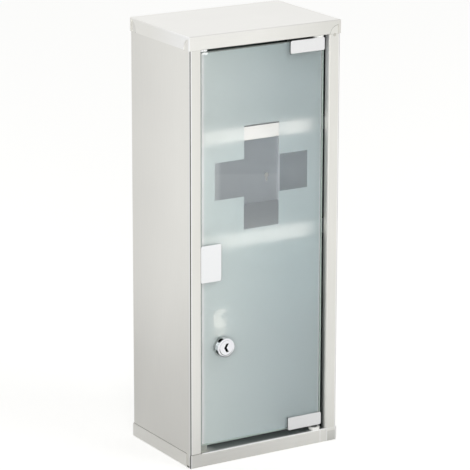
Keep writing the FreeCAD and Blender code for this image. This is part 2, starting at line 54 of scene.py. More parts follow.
def linear(hexColour):
    # sRGB hex to linear light: a straight part near black, a 2.4 power above it
    values = [int(hexColour[i:i + 2], 16) / 255 for i in (1, 3, 5)]
    return [v / 12.92 if v <= 0.04045 else ((v + 0.055) / 1.055) ** 2.4 for v in values] + [1.0]


def addNode(tree, kind, settings):
    # each setting names an input, by name or number, or else a property of the node; a socket is
    # linked, anything else is set
    node = tree.nodes.new(kind)
    for name, value in settings.items():
        if not (isinstance(name, int) or name in node.inputs):
            setattr(node, name, value)
        elif isinstance(value, bpy.types.NodeSocket):
            tree.links.new(value, node.inputs[name])
        else:
            node.inputs[name].default_value = value
    return node


# The tones of a piece are laid on in zones. A zone's limits say where it lies: each is a share from 0
# to 1 along an axis, and they are multiplied. A name alone stands for that axis's own value, and a
# list for the greatest share in it. All places are in mm.
def fade(axis, low, high, start=0.0, end=1.0):
    # start below low, end above high, straight between them
    return {"axis": axis, "low": low, "high": high, "start": start, "end": end}


def band(axis, low, high, soft=0.0005):
    # 1 between low and high, falling to 0 over a width of soft at each end
    half = (high - low) / 2
    return {"axis": axis, "middle": (low + high) / 2, "low": half - soft / 2, "high": half + soft / 2,
            "start": 1.0, "end": 0.0}


def shareOf(tree, axes, limit):
    if isinstance(limit, str):
        return axes[limit]
    if isinstance(limit, list):
        return greatest(tree, [shareOf(tree, axes, member) for member in limit])
    value = axes[limit["axis"]]
    if "middle" in limit:
        beside = addNode(tree, "ShaderNodeMath", {"operation": "SUBTRACT", 0: value, 1: limit["middle"]})
        value = addNode(tree, "ShaderNodeMath", {"operation": "ABSOLUTE", 0: beside.outputs[0]}).outputs[0]
    settings = {"Value": value, "From Min": limit["low"], "From Max": limit["high"],
                "To Min": limit["start"], "To Max": limit["end"]}
    return addNode(tree, "ShaderNodeMapRange", settings).outputs[0]


def greatest(tree, shares):
    most = shares[0] if shares else 0.0
    for share in shares[1:]:
        most = addNode(tree, "ShaderNodeMath", {"operation": "MAXIMUM", 0: most, 1: share}).outputs[0]
    return most


def productOf(tree, axes, limits):
    share = shareOf(tree, axes, limits[0])
    for limit in limits[1:]:
        settings = {"operation": "MULTIPLY", 0: share, 1: shareOf(tree, axes, limit)}
        share = addNode(tree, "ShaderNodeMath", settings).outputs[0]
    return share


def heapOf(tree, axes, start, parts):
    # start and, for each part, its amount times its share
    total = start
    for amount, limits in parts:
        settings = {"operation": "MULTIPLY_ADD", 0: productOf(tree, axes, limits), 1: amount, 2: total}
        total = addNode(tree, "ShaderNodeMath", settings).outputs[0]
    return total


def laidOn(tree, axes, colour, zones):
    # each zone has its tone, the limits of where it lies, and how much of the tone is laid on
    for zone in zones:
        share = productOf(tree, axes, zone["where"])
        if "amount" in zone:
            settings = {"operation": "MULTIPLY", 0: share, 1: zone["amount"]}
            share = addNode(tree, "ShaderNodeMath", settings).outputs[0]
        colour = addNode(tree, "ShaderNodeMix", {"data_type": "RGBA", 0: share, 6: colour,
                                                 7: linear(zone["tone"])}).outputs[2]
    return colour


def shaded(tree, colour, shade):
    settings = {"data_type": "RGBA", "blend_type": "MULTIPLY", 0: 1.0, 6: colour, 7: shade}
    return addNode(tree, "ShaderNodeMix", settings).outputs[2]


def newMaterial(name):
    # the axes are the place on the object in mm, and aside is how far it lies from the middle plane
    material = bpy.data.materials.new(name)
    material.use_nodes = True
    tree = material.node_tree
    tree.nodes.clear()
    place = tree.nodes.new("ShaderNodeTexCoord").outputs["Object"]
    inMm = addNode(tree, "ShaderNodeVectorMath", {"operation": "SCALE", 0: place, "Scale": 1 / mm}).outputs[0]
    x, y, z = addNode(tree, "ShaderNodeSeparateXYZ", {0: inMm}).outputs
    aside = addNode(tree, "ShaderNodeMath", {"operation": "ABSOLUTE", 0: x}).outputs[0]
    return material, tree, place, {"place": inMm, "x": x, "y": y, "z": z, "aside": aside}


sheetLook = {"colour": "#f3f2ee", "roughness": 0.33, "roughBelow": 0.05, "roughAbove": 0.06,
             "grainWidth": 0.35 * mm, "grainLength": 30 * mm, "grainDetail": 3.0, "grainShade": (0.965, 1.02),
             "grainDepth": 0.1 * mm, "grainStrength": 0.06, "cloudsPerMetre": 9.0,
             "cloudShade": (0.955, 1.03), "insideRoughness": 0.42, "insideMetallic": 0.55,
             "slopeOfSheen": 0.12}
# glint is a painted highlight and dark a painted shade, laid on where light catches or shade falls
glint, dark = "#ffffff", "#070908"

# a tight outer bend gets two painted highlights beside a thin dark line, which is partly the seam
# and partly painted shade; far is the distance from the middle of the bend's arc, in plan
bendHighlightsAndSeam = [{"tone": glint, "where": [band("far", 0.5, 1.7, 0.3)]},
             {"tone": "#2e2f2b", "where": [fade("far", 0.42, 0.78, 1.0, 0.0)]}]

shellLook = {
    "bend": (97.61, 65.61),
    "areas": {
        "inside": [band("aside", -1, shellSide - sheet / 2), band("y", -57.9, shellBack - 0.1)],
        "wall": ["inside", fade("x", wallInside - 1.0, wallInside - 0.5)],
        "fold": [band("aside", 83.0, 84.0), band("y", -67, -57)]},
    # two faint soft painted reflections on the back wall, one sloping and one upright
    "sheens": [(0.2, [band("slope", 269.5, 304, 2.5)]), (0.7, [band("x", 8, 17, 6)])],
    "dull": ["inside", "fold"],
    "zones": [
        # inside, the sheet is duller, and painted shade darkens it, the more so up under the lid and
        # towards the hinge side
        {"tone": "#d2d6db", "where": ["inside"]},
        {"tone": "#c3c8cd", "where": ["inside", fade("x", -60, 90)]},
        {"tone": "#b4bbbf", "where": ["wall", fade("y", backInside - 2.4, backInside - 1.0, 1.0, 0.0)]},
        {"tone": "#f4f6f8", "where": ["inside", "sheen", fade("y", 64, 65), band("z", 240, 340, 30)]},
        # painted shade on the edges of the keyholes, and a painted highlight on the corner beside
        # the back
        {"tone": "#85898b", "where": ["inside", fade("y", backInside + 0.1, backInside + 0.2)]},
        {"tone": "#f2f4f6", "where": ["wall", band("y", 60.1, 64.3, 0.8)]},
        # painted shade up under the lid
        {"tone": "#4a4f4d", "where": ["inside", fade("z", 424, 438)]},
        # behind the stiles no light reaches the wall
        {"tone": dark, "where": [band("aside", 84.1, shellSide - sheet / 2), fade("y", -34, -22, 1.0, 0.0),
                                 band("y", -65.9, 0)]},
        # painted light and shade on the returns: bright bends fading into painted shade, the more so low down
        {"tone": "#d6dbd4", "where": ["fold", fade("y", -65.2, -58.2)]},
        {"tone": glint, "where": ["fold", fade("z", 330, 440, 0.0, 0.8)]},
        {"tone": dark, "where": ["fold", fade("z", 90, 310, 0.7, 0.0), fade("y", -63.2, -60.8)]},
        # a painted highlight on the right stile's inner bend
        {"tone": "#e8e7e2", "where": [band("x", 83.4, 85.4), fade("y", -65.0, -64.4, 1.0, 0.0)]},
        # outside, painted shade makes the stiles a touch deeper in tone, and the sides deeper backwards
        # and downwards
        {"tone": "#eae9e4", "where": [fade("y", -66.1, -66.0, 1.0, 0.0), band("aside", 85.4, 97),
                                      [fade("z", 40, 240), fade("x", -1, 1)]]},
        {"tone": "#e7e6e2", "where": [fade("aside", shellSide - 0.2, shellSide - 0.1),
                                      [fade("y", -40, 66), fade("z", 20, 260, 0.8, 0.0)]]},
        *bendHighlightsAndSeam]}

lidLook = {
    "areas": {"under": [band("z", 400, 499.1), band("y", -66.1, 66.1), band("x", -98.1, 98.1)]},
    "dull": ["under"],
    "zones": [
        # painted light on the lid's left side, fading backwards; painted shade on its front towards the right
        # and under it
        {"tone": glint, "where": [fade("x", -98.6, -98.2, 1.0, 0.0), fade("y", -60, 20, 1.0, 0.0)]},
        {"tone": "#e4e3de", "where": [fade("y", -66.5, -66.1, 1.0, 0.0), fade("x", -10, 99)]},
        {"tone": "#4a4f4d", "where": ["under"]}]}

baseLook = {
    "bend": (98.5, 66.5),
    "areas": {
        "ledge": [band("z", 0.9, 30), band("x", -98.1, 98.1), fade("y", -66.0, -62),
                  fade("y", 65.9, 66.1, 1.0, 0.0)],
        "rim": [fade("y", -65.2, -64.8, 1.0, 0.0), fade("z", 14.4, 14.8), band("x", -83, 83)],
        "front": [fade("y", -66.4, -66.2, 1.0, 0.0)]},
    "dull": ["ledge", "rim"],
    "zones": [
        # painted light and shade on the ledge behind the base's front: it darkens inwards from a bright
        # bend, and to the right
        {"tone": "#98a099", "where": ["ledge"]},
        {"tone": "#343937", "where": ["ledge", fade("y", -63, -45)]},
        {"tone": dark, "where": ["ledge", fade("x", -40, 60)], "amount": 0.5},
        # its free end, below the bumper, gets painted light
        {"tone": "#f6f6f0", "where": ["ledge", fade("x", -76, -60, 1.0, 0.0), fade("y", -54, -46, 1.0, 0.0)]},
        {"tone": glint, "where": ["rim"]},
        # the notch in the base's side, by the front edge, shows the edge of the shell in painted shade
        {"tone": "#7b7c78", "where": [fade("x", -98.9, -98.7, 1.0, 0.0), band("y", -65.6, -59.4, 1.0),
                                      fade("z", 12.5, 14.5, 1.0, 0.0)]},
        # painted shade: the base's front is darker towards the left
        {"tone": "#e2e1dd", "where": ["front"]},
        {"tone": "#edece8", "where": ["front", fade("x", -97, 60)]},
        # the lap: painted highlights beside it, and painted shade on the end to its right
        {"tone": "#8d908c", "where": ["front", fade("x", 85.6, 85.9), fade("z", 12.2, 12.9, 1.0, 0.0),
                                      fade("z", 0, 12, 1.0, 0.55)], "amount": 0.42},
        {"tone": glint, "where": ["front", band("x", 75.6, 76.8, 0.4)], "amount": 0.6},
        {"tone": glint, "where": ["front", band("x", 84.8, 86.0, 0.4)], "amount": 0.6},
        *bendHighlightsAndSeam]}


def satinSheet(name, grainAlong, look, piece):
    # Stainless sheet with a satin grind, factory ground with a belt: a pale soft mirror whose fine
    # lines run one way. The real lines are about 0.1 mm, drawn coarser here so that they show.
    material, tree, place, axes = newMaterial(name)
    scale = [1 / look["grainWidth"] / 4] * 3
    scale["XYZ".index(grainAlong)] = 1 / look["grainLength"]
    stretched = addNode(tree, "ShaderNodeMapping", {"Vector": place, "Scale": scale}).outputs[0]
    axes["grain"] = addNode(tree, "ShaderNodeTexNoise", {"Vector": stretched, "Scale": 1.0,
                                                         "Detail": look["grainDetail"]}).outputs[0]
    axes["cloud"] = addNode(tree, "ShaderNodeTexNoise", {"Vector": place,
                                                         "Scale": look["cloudsPerMetre"]}).outputs[0]
    shade = productOf(tree, axes, [fade("cloud", 0, 1, *look["cloudShade"]),
                                   fade("grain", 0, 1, *look["grainShade"])])
    plan = addNode(tree, "ShaderNodeCombineXYZ", {0: axes["aside"], 1: axes["y"]}).outputs[0]
    bendSide, bendFront = piece.get("bend", (0, 0))
    axes["far"] = addNode(tree, "ShaderNodeVectorMath", {"operation": "DISTANCE", 0: plan,
                                                         1: (bendSide, -bendFront, 0)}).outputs["Value"]
    axes["slope"] = addNode(tree, "ShaderNodeMath", {"operation": "MULTIPLY_ADD", 0: axes["x"],
                                                     1: look["slopeOfSheen"], 2: axes["z"]}).outputs[0]
    axes["sheen"] = heapOf(tree, axes, 0.0, piece.get("sheens", []))
    for area, limits in piece.get("areas", {}).items():
        axes[area] = productOf(tree, axes, limits)
    colour = laidOn(tree, axes, linear(look["colour"]), piece.get("zones", []))
    axes["dull"] = greatest(tree, [axes[area] for area in piece.get("dull", [])])
    rough = heapOf(tree, axes, shareOf(tree, axes, fade("grain", 0, 1, look["roughness"] - look["roughBelow"],
                                                        look["roughness"] + look["roughAbove"])),
                   [(look["insideRoughness"] - look["roughness"], ["dull"])])
    metallic = shareOf(tree, axes, fade("dull", 0, 1, 1.0, look["insideMetallic"]))
    bump = addNode(tree, "ShaderNodeBump", {"Strength": look["grainStrength"], "Distance": look["grainDepth"],
                                            "Height": axes["grain"]})
    shader = addNode(tree, "ShaderNodeBsdfPrincipled",
                     {"Metallic": metallic, "Base Color": shaded(tree, colour, shade), "Roughness": rough,
                      "Normal": bump.outputs[0]})
    addNode(tree, "ShaderNodeOutputMaterial", {"Surface": shader.outputs[0]})
    return material


shelfLook = {"colour": "#fdf8f4", "metallic": 0.3, "roughness": (0.44, 0.56), "speck": 0.4 * mm, "glow": 0.21,
             "front": fade("y", -36.3, -36.0, 1.0, 0.0), "behindFront": fade("y", -36.3, -36.0),
             "seen": [band("x", -17, 41, 14), fade("z", 300, 301)], "hingeEnd": fade("x", 66, 84, 1.0, 0.0)}
# painted shade towards the hinge side, along the front's top bend and on the top behind the front, and a
# little more where the cross shows the front
shelfLook["zones"] = [{"tone": "#8b9090", "where": [fade("x", 68, 90)]},
                      {"tone": "#4c5151", "where": [shelfLook["front"], band("z", 382.9, 384.5)]},
                      {"tone": "#cfd2d4", "where": [shelfLook["behindFront"]]},
                      {"tone": "#cfd2d4", "where": ["seen"], "amount": 0.08}]


def shelfFinish(look):
    # The same sheet on a shelf, seen as a pale band through the frost, with painted shade along its top
    # bend and towards the hinge side. The frost spreads more of the bright front towards the eye than
    # its shader does, so the front gets a painted glow, except where the clear cross shows it.
    material, tree, place, axes = newMaterial("satin stainless shelf")
    axes["fine"] = addNode(tree, "ShaderNodeTexNoise", {"Vector": place,
                                                        "Scale": 1 / look["speck"]}).outputs[0]
    axes["seen"] = productOf(tree, axes, look["seen"])
    axes["covered"] = shareOf(tree, axes, fade("seen", 0, 1, 1.0, 0.0))
    axes["glowing"] = productOf(tree, axes, [look["front"], "covered", look["hingeEnd"]])
    shader = addNode(tree, "ShaderNodeBsdfPrincipled",
                     {"Metallic": look["metallic"],
                      "Base Color": laidOn(tree, axes, linear(look["colour"]), look["zones"]),
                      "Roughness": shareOf(tree, axes, fade("fine", 0, 1, *look["roughness"])),
                      "Emission Color": linear(look["colour"]),
                      "Emission Strength": shareOf(tree, axes, fade("glowing", 0, 1, 0.0, look["glow"]))})
    addNode(tree, "ShaderNodeOutputMaterial", {"Surface": shader.outputs[0]})
    material.cycles.emission_sampling = "NONE"
    return material


def speckledFinish(name, colour, metallic, roughness, speck=0.4 * mm, spread=0.12, unevenness=0.04, glow=0.0):
    # One colour with a fine unevenness in tone and gloss, as moulding, casting or plating leaves it
    material, tree, place, axes = newMaterial(name)
    axes["fine"] = addNode(tree, "ShaderNodeTexNoise", {"Vector": place, "Scale": 1 / speck}).outputs[0]
    tone = shareOf(tree, axes, fade("fine", 0, 1, 1 - unevenness, 1.0))
    rough = shareOf(tree, axes, fade("fine", 0, 1, roughness * (1 - spread), roughness * (1 + spread)))
    shader = addNode(tree, "ShaderNodeBsdfPrincipled",
                     {"Metallic": metallic, "Base Color": shaded(tree, linear(colour), tone),
                      "Roughness": rough, "Emission Strength": glow})
    addNode(tree, "ShaderNodeOutputMaterial", {"Surface": shader.outputs[0]})
    if glow:
        material.cycles.emission_sampling = "NONE"
    return material


lockLook = {"colour": "#f4f4f8", "roughness": 0.08, "unevenShares": (0.7, 1.3), "speck": 0.4 * mm,
            "axisX": -52.7, "axisZ": 137.8, "keyHalf": 4.7, "keyBow": 2.6}
lockFace = -68.7
lockLook["areas"] = {
    "side": [fade("radius", 10.5, 10.8), fade("y", lockFace + 0.4, lockFace + 0.7)],
    "front": [fade("y", lockFace + 0.3, lockFace + 0.5, 1.0, 0.0)],
    "slot": [fade("beside", 1.45, 1.8, 1.0, 0.0), fade("rise", 1.04, 1.1, 1.0, 0.0)]}
lockLook["zones"] = [  # turn is the angle round the lock's axis, in radians
    # painted reflections: two dark stripes of the room on the head's round side
    {"tone": "#0f1211", "where": ["side", band("turn", 1.85, 2.42, 0.12)]},
    {"tone": "#0f1211", "where": ["side", band("turn", -2.95, -2.35, 0.12)]},
    # a painted dark reflection on the lower left of the face's rim, and the painted shade of a ring groove
    {"tone": "#3c4142", "where": [fade("radius", 9.9, 10.2), band("turn", -2.3, -0.5, 0.6)]},
    {"tone": "#8f9296", "where": ["front", band("radius", 8.3, 9.1, 0.3), band("turn", -3.0, -0.5, 0.8)]},
    # painted shade: the keyway and its rounded edge are black
    {"tone": "#010101", "where": ["slot"]}]


def lockChrome(look):
    # Polished chrome plate on a turned head: a clean mirror, with two dark stripes of the room painted
    # on its round side as painted reflections. The keyway and its edge are painted black as shade.
    material, tree, place, axes = newMaterial("polished chrome plate, lock")
    offAxis = addNode(tree, "ShaderNodeVectorMath", {"operation": "SUBTRACT", 0: axes["place"],
                                                     1: (look["axisX"], 0, look["axisZ"])}).outputs[0]
    flat = addNode(tree, "ShaderNodeVectorMath", {"operation": "MULTIPLY", 0: offAxis,
                                                  1: (1, 0, 1)}).outputs[0]
    axes["radius"] = addNode(tree, "ShaderNodeVectorMath", {"operation": "LENGTH", 0: flat}).outputs["Value"]
    across, _, upward = addNode(tree, "ShaderNodeSeparateXYZ", {0: offAxis}).outputs
    axes["turn"] = addNode(tree, "ShaderNodeMath", {"operation": "ARCTAN2", 0: upward, 1: across}).outputs[0]
    # the keyway's chevron: its middle line lies at bow * (rise - 1/2), where rise = |up| / half
    height = addNode(tree, "ShaderNodeMath", {"operation": "ABSOLUTE", 0: upward}).outputs[0]
    axes["rise"] = addNode(tree, "ShaderNodeMath", {"operation": "DIVIDE", 0: height,
                                                    1: look["keyHalf"]}).outputs[0]
    middle = heapOf(tree, axes, -look["keyBow"] / 2, [(look["keyBow"], ["rise"])])
    offMiddle = addNode(tree, "ShaderNodeMath", {"operation": "SUBTRACT", 0: across, 1: middle}).outputs[0]
    axes["beside"] = addNode(tree, "ShaderNodeMath", {"operation": "ABSOLUTE", 0: offMiddle}).outputs[0]
    axes["fine"] = addNode(tree, "ShaderNodeTexNoise", {"Vector": place,
                                                        "Scale": 1 / look["speck"]}).outputs[0]
    for area, limits in look["areas"].items():
        axes[area] = productOf(tree, axes, limits)
    smoothest, roughest = look["unevenShares"]
    rough = fade("fine", 0, 1, look["roughness"] * smoothest, look["roughness"] * roughest)
    shader = addNode(tree, "ShaderNodeBsdfPrincipled",
                     {"Metallic": shareOf(tree, axes, fade("slot", 0, 1, 1.0, 0.0)),
                      "Base Color": laidOn(tree, axes, linear(look["colour"]), look["zones"]),
                      "Specular IOR Level": shareOf(tree, axes, fade("slot", 0, 1, 0.5, 0.0)),
                      "Roughness": shareOf(tree, axes, rough)})
    addNode(tree, "ShaderNodeOutputMaterial", {"Surface": shader.outputs[0]})
    return material


def throughLight(tree, shader):
    # lamps and sky shine straight through, and every other ray meets the real surface
    clear = addNode(tree, "ShaderNodeBsdfTransparent", {"Color": (1, 1, 1, 1)})
    path = addNode(tree, "ShaderNodeLightPath", {})
    mixed = addNode(tree, "ShaderNodeMixShader", {0: path.outputs["Is Shadow Ray"], 1: shader.outputs[0],
                                                  2: clear.outputs[0]})
    addNode(tree, "ShaderNodeOutputMaterial", {"Surface": mixed.outputs[0]})


paneLook = {"cast": "#f9fbfb", "refraction": 1.5, "wavesPerMetre": 12.0, "waveRoughness": 0.012,
            "edge": "#c4ccc8", "edgeFromWithin": "#b4c3bb", "edgeRoughness": 0.6, "grit": 0.5 * mm,
            "gritShade": (0.85, 1.1)}


def floatGlass(look):
    # Toughened float glass: clear and smooth, with a faint cast and a slightly uneven polish
    material, tree, place, axes = newMaterial("toughened float glass")
    axes["wave"] = addNode(tree, "ShaderNodeTexNoise", {"Vector": place,
                                                        "Scale": look["wavesPerMetre"]}).outputs[0]
    rough = shareOf(tree, axes, fade("wave", 0, 1, 0.0, look["waveRoughness"]))
    throughLight(tree, addNode(tree, "ShaderNodeBsdfPrincipled",
                               {"Base Color": linear(look["cast"]), "IOR": look["refraction"],
                                "Transmission Weight": 1.0, "Roughness": rough}))
    return material


def groundGlassEdge(look):
    # The edge of the pane, ground and arrised before toughening: matt, pale grey-green, and a little
    # deeper where it is seen from inside the glass
    material, tree, place, axes = newMaterial("ground glass edge")
    axes["grit"] = addNode(tree, "ShaderNodeTexNoise", {"Vector": place,
                                                        "Scale": 1 / look["grit"]}).outputs[0]
    grit = shareOf(tree, axes, fade("grit", 0, 1, *look["gritShade"]))
    outer = addNode(tree, "ShaderNodeBsdfPrincipled",
                    {"Roughness": look["edgeRoughness"], "IOR": look["refraction"],
                     "Base Color": shaded(tree, linear(look["edge"]), grit)})
    inner = addNode(tree, "ShaderNodeBsdfDiffuse", {"Color": linear(look["edgeFromWithin"])})
    side = addNode(tree, "ShaderNodeNewGeometry", {})
    mixed = addNode(tree, "ShaderNodeMixShader", {0: side.outputs["Backfacing"], 1: outer.outputs[0],
                                                  2: inner.outputs[0]})
    addNode(tree, "ShaderNodeOutputMaterial", {"Surface": mixed.outputs[0]})
    return material


frostLook = {
    "through": "#fff9f7", "refraction": 1.5, "etch": 0.6 * mm, "etchSpread": 0.02,
    "blurLeft": 0.34, "blurRight": 0.31, "lockBlur": 0.5, "lockPlace": (-54, -58, 164), "lockReach": (20, 34),
    # more milk on the left is painted light, for the room's light falling from that side
    "milk": "#e1ebe9", "onwardShare": 0.35, "milkShare": fade("x", -80, 40, 0.43, 0.26),
    "areas": {"toRight": [fade("x", -80, 40)],
              "rim": [[band("x", -81, -76.5, 1.5), fade("x", 76.0, 76.8)]],
              "edge": [[fade("z", 25, 28, 1.0, 0.0), fade("z", 468, 478)]]},
    # painted light and shade: the milk cools and darkens towards the hinge side, and the film's outer
    # margins look paler
    "zones": [{"tone": "#cfe2e4", "where": ["toRight"]},
              {"tone": "#ffffff", "where": ["rim"]}],
    # more milk at the margins and, as painted light where the room's light would fall, at mid height,
    # on the hinge side least low down and most of all left of the cross
    "moreMilk": [(0.1, [["rim", "edge"]]),
                 (0.05, [band("z", 175, 300, 50)]),
                 (0.05, ["toRight", fade("z", 60, 160, -0.6, 0.0)]),
                 (0.1, [fade("x", -80, 40, 1.0, 0.0), band("z", 285, 365, 30)])],
    "pressedPlace": (-74.3, -58, 478.8), "pressed": fade("spot", 2.1, 2.9, 1.0, 0.0), "pressedGlow": 0.95,
    "windowShift": -1.4 * mm}


def etchedFrost(look):
    # Acid-etched face or frosted film: it scatters a little light back as a pale green-grey milk
    # and blurs what lies behind, more so the further behind it is
    material, tree, place, axes = newMaterial("acid etched frost")
    axes["etch"] = addNode(tree, "ShaderNodeTexNoise", {"Vector": place,
                                                        "Scale": 1 / look["etch"]}).outputs[0]
    for area, limits in look["areas"].items():
        axes[area] = productOf(tree, axes, limits)
    # coarser round the lock's cam, which lies so close behind that it would show through sharply
    axes["near"] = addNode(tree, "ShaderNodeVectorMath", {"operation": "DISTANCE", 0: axes["place"],
                                                          1: look["lockPlace"]}).outputs["Value"]
    plain = shareOf(tree, axes, fade("toRight", 0, 1, look["blurLeft"], look["blurRight"]))
    coarse = shareOf(tree, axes, fade("near", *look["lockReach"], look["lockBlur"], plain))
    uneven = shareOf(tree, axes, fade("etch", 0, 1, -look["etchSpread"], look["etchSpread"]))
    rough = addNode(tree, "ShaderNodeMath", {"operation": "ADD", 0: coarse, 1: uneven}).outputs[0]
    blur = addNode(tree, "ShaderNodeBsdfPrincipled",
                   {"Base Color": linear(look["through"]), "IOR": look["refraction"],
                    "Transmission Weight": 1.0, "Roughness": rough})
    milkColour = laidOn(tree, axes, linear(look["milk"]), look["zones"])
    back = addNode(tree, "ShaderNodeBsdfDiffuse", {"Color": milkColour})
    onward = addNode(tree, "ShaderNodeBsdfTranslucent", {"Color": milkColour})
    milk = addNode(tree, "ShaderNodeMixShader", {0: look["onwardShare"], 1: back.outputs[0],
                                                 2: onward.outputs[0]})
    share = heapOf(tree, axes, shareOf(tree, axes, look["milkShare"]), look["moreMilk"])
    frosted = addNode(tree, "ShaderNodeMixShader", {0: share, 1: blur.outputs[0], 2: milk.outputs[0]})
    # a painted white glow on the film where the upper bumper lies behind it, for its white highlight
    axes["spot"] = addNode(tree, "ShaderNodeVectorMath", {"operation": "DISTANCE", 0: axes["place"],
                                                          1: look["pressedPlace"]}).outputs["Value"]
    paintedGlowSpot = addNode(tree, "ShaderNodeEmission", {"Color": (1, 1, 1, 1), "Strength": look["pressedGlow"]})
    throughLight(tree, addNode(tree, "ShaderNodeMixShader", {0: shareOf(tree, axes, look["pressed"]),
                                                             1: frosted.outputs[0], 2: paintedGlowSpot.outputs[0]}))
    material.cycles.emission_sampling = "NONE"
    return material


steel = satinSheet("satin ground stainless sheet, upright grain", "Z", sheetLook, shellLook)
lidSteel = satinSheet("satin ground stainless sheet, lid", "X", sheetLook, lidLook)
baseSteel = satinSheet("satin ground stainless sheet, base", "X", sheetLook, baseLook)
plainSteel = satinSheet("satin ground stainless sheet, small folded parts", "X", sheetLook, {})
shelfSteel = shelfFinish(shelfLook)
nylon = speckledFinish("moulded white nylon", "#f2f2ee", 0.0, 0.42)
# the spacer's grey is deepened as painted shade, for the shade under the lower clip
acetal = speckledFinish("moulded grey acetal, deepened as painted shade", "#3b3d3c", 0.0, 0.4)
whiteAbs = speckledFinish("moulded white ABS", "#e6e6e2", 0.0, 0.38)
ferrite = speckledFinish("sintered ferrite", "#2b2b2d", 0.0, 0.6, unevenness=0.2)
zinc = speckledFinish("bright zinc plate on steel", "#c5c8ca", 1.0, 0.3)
darkZinc = speckledFinish("dark passivated zinc plate", "#98a09f", 1.0, 0.4)
camZinc = speckledFinish("dull zinc plate on the cam", "#e2d7d1", 0.1, 0.5)
# its glow is painted light: the rubber shines a little though it is no lamp
milkySilicone = speckledFinish("milky silicone rubber", "#ffffff", 0.0, 0.15, glow=0.2)  # light gathers in it
# a darker copy of the same rubber, as painted shade
shadedSilicone = speckledFinish("milky silicone rubber in shade", "#a4a7a1", 0.0, 0.3)
satinNickel = speckledFinish("satin nickel plate on cast zinc", "#f1f1f2", 1.0, 0.28)
chrome = speckledFinish("polished chrome plate", "#f4f5f7", 1.0, 0.07, spread=0.3, unevenness=0.01)
rubber = speckledFinish("clear rubber lining", "#b9bdbb", 0.0, 0.55)
darkRubber = speckledFinish("dark rubber lining", "#1d1f1f", 0.0, 0.55)
greyRubber = speckledFinish("grey rubber gasket", "#c5cdcb", 0.0, 0.55)
gap = speckledFinish("shadowed joint between two sheets", "#80817b", 0.0, 0.8)
faintGap = speckledFinish("faintly shadowed joint between two sheets", "#a7a8a2", 0.0, 0.8)
lining = speckledFinish("shadowed edge of the rubber lining", "#4d5252", 0.0, 0.6)
paintedBendHighlight = speckledFinish("painted highlight on a bend of the sheet", "#ffffff", 0.0, 0.3)
weld = speckledFinish("heat tinted spot weld", "#dad8d0", 1.0, 0.5, unevenness=0.2)
lockMetal = lockChrome(lockLook)
glass = floatGlass(paneLook)
glassEdge = groundGlassEdge(paneLook)
frost = etchedFrost(frostLook)
print("materials ready")


for node, material in {
        "upper_shelf_rails": plainSteel, "lower_shelf_rails": plainSteel, "catch_bracket": plainSteel,
        "catch_case": whiteAbs, "catch_magnet": ferrite, "catch_pole_plates": zinc,
        "top_clip_pad": darkRubber, "bottom_clip_pad": darkRubber, "clip_screws": zinc,
        "strike_pad": rubber, "lock_gasket": greyRubber, "cam_screw": zinc}.items():
    mesh = nodes[node].data
    mesh.materials.clear()
    mesh.materials.append(material)

copyLook = {"mergeWithin": 0.002 * mm, "flatWithin": 0.4, "sharpAngle": 32, "paneSharpAngle": 20,
            "easedAngle": 40, "easedSegments": 2}


def smoothCopy(node, name, body, materials, edgeRadius, sharpAngle=copyLook["sharpAngle"]):
    # a copy of a piece with its loose triangles joined, so that its bends shade smoothly while its
    # flat faces stay flat; edgeRadius rounds the sharp edges that catch the light
    mesh = nodes[node].data.copy()
    mesh.name = name
    work = bmesh.new()
    work.from_mesh(mesh)
    bmesh.ops.remove_doubles(work, verts=work.verts, dist=copyLook["mergeWithin"])
    flatAngle = math.radians(copyLook["flatWithin"])
    bmesh.ops.dissolve_limit(work, angle_limit=flatAngle, verts=work.verts, edges=work.edges)
    work.to_mesh(mesh)
    work.free()
    mesh.shade_smooth()
    mesh.set_sharp_from_angle(angle=math.radians(sharpAngle))
    mesh.materials.clear()
    for material in materials:
        mesh.materials.append(material)
    piece = bpy.data.objects.new(name, mesh)
    bpy.context.scene.collection.objects.link(piece)
    if edgeRadius:
        soften = piece.modifiers.new("eased edges", "BEVEL")
        soften.width = edgeRadius
        soften.segments = copyLook["easedSegments"]
        soften.limit_method = "ANGLE"
        soften.angle_limit = math.radians(copyLook["easedAngle"])
    level = piece.modifiers.new("flat faces stay flat", "WEIGHTED_NORMAL")
    level.keep_sharp = True
    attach(piece, body)
    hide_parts(node)
    return piece


# for each node, the copy's name, its body, its finish and its eased edge in mm
for node, (name, body, material, easedEdge) in {
        "body_shell": ("shell", "cabinet", steel, 0),
        "top_cap": ("lid", "cabinet", lidSteel, 0),
        "bottom_cap": ("base", "cabinet", baseSteel, 0),
        "upper_shelf": ("shelf_upper", "cabinet", shelfSteel, 0),
        "lower_shelf": ("shelf_lower", "cabinet", shelfSteel, 0),
        "door_bumpers": ("bumpers", "cabinet", milkySilicone, 0.4),
        "top_pivot_bush": ("bush_upper", "cabinet", nylon, 0.2),
        "bottom_pivot_bush": ("bush_lower", "cabinet", nylon, 0.2),
        "pivot_spacer_washer": ("spacer", "cabinet", acetal, 0),
        "top_hinge_clip": ("clip_upper", "door", satinNickel, 0.15),
        "bottom_hinge_clip": ("clip_lower", "door", satinNickel, 0.15),
        "top_pivot_pin": ("pin_upper", "door", zinc, 0),
        "bottom_pivot_pin": ("pin_lower", "door", zinc, 0),
        "catch_strike": ("strike_plate", "door", chrome, 0.3),
        "lock_housing": ("lock_body", "door", lockMetal, 0.2),
        "lock_nut": ("nut", "door", darkZinc, 0.3),
        "lock_plug": ("lock_core", "lock_plug", lockMetal, 0),
        "lock_cam": ("cam", "lock_plug", camZinc, 0.3)}.items():
    smoothCopy(node, name, body, [material], easedEdge * mm)

